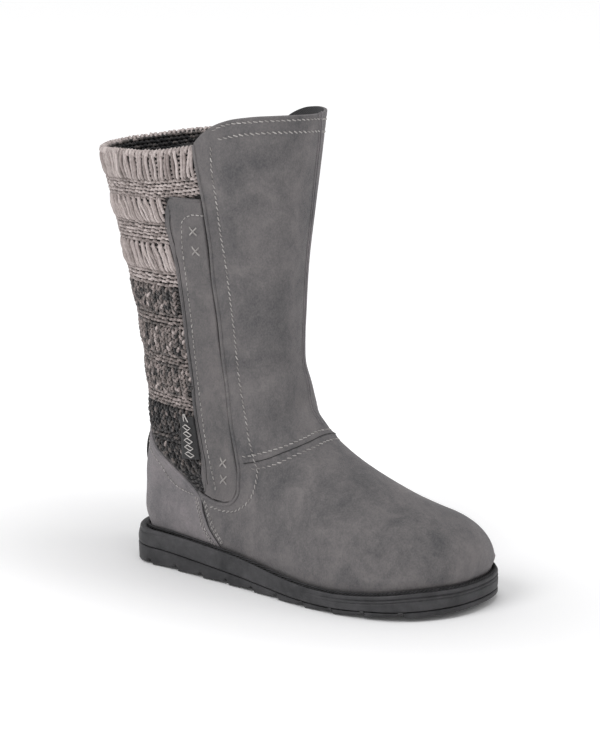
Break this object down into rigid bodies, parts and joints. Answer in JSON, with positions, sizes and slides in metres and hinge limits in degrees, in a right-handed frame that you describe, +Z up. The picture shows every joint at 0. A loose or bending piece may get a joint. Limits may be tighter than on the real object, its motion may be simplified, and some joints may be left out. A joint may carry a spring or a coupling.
{
  "type": "mukluk boot",
  "caption": "Right mid-calf winter boot: a soft suede front and foot, a chunky striped knit back panel, a side strap and a lugged rubber wedge sole.",
  "frame": {"origin": "on the floor, under the middle of the boot's box", "axes": "+X towards the toe, +Y towards the inner (medial) side of this right boot, +Z up"},
  "size_m": [0.3006, 0.1122, 0.3213],
  "materials": {
    "suede": "matte",
    "knit": "matte",
    "rubber": "satin",
    "webbing": "matte",
    "lining": "matte"
  },
  "bodies": {
    "root": {"outsole": "rubber", "midsole": "rubber", "welt": "rubber", "insole": "lining", "upper": "suede", "knit_back": "knit", "heel_counter": "suede", "side_strap": "suede", "side_tag": "webbing", "heel_tab": "webbing"}
  },
  "joints": []
}
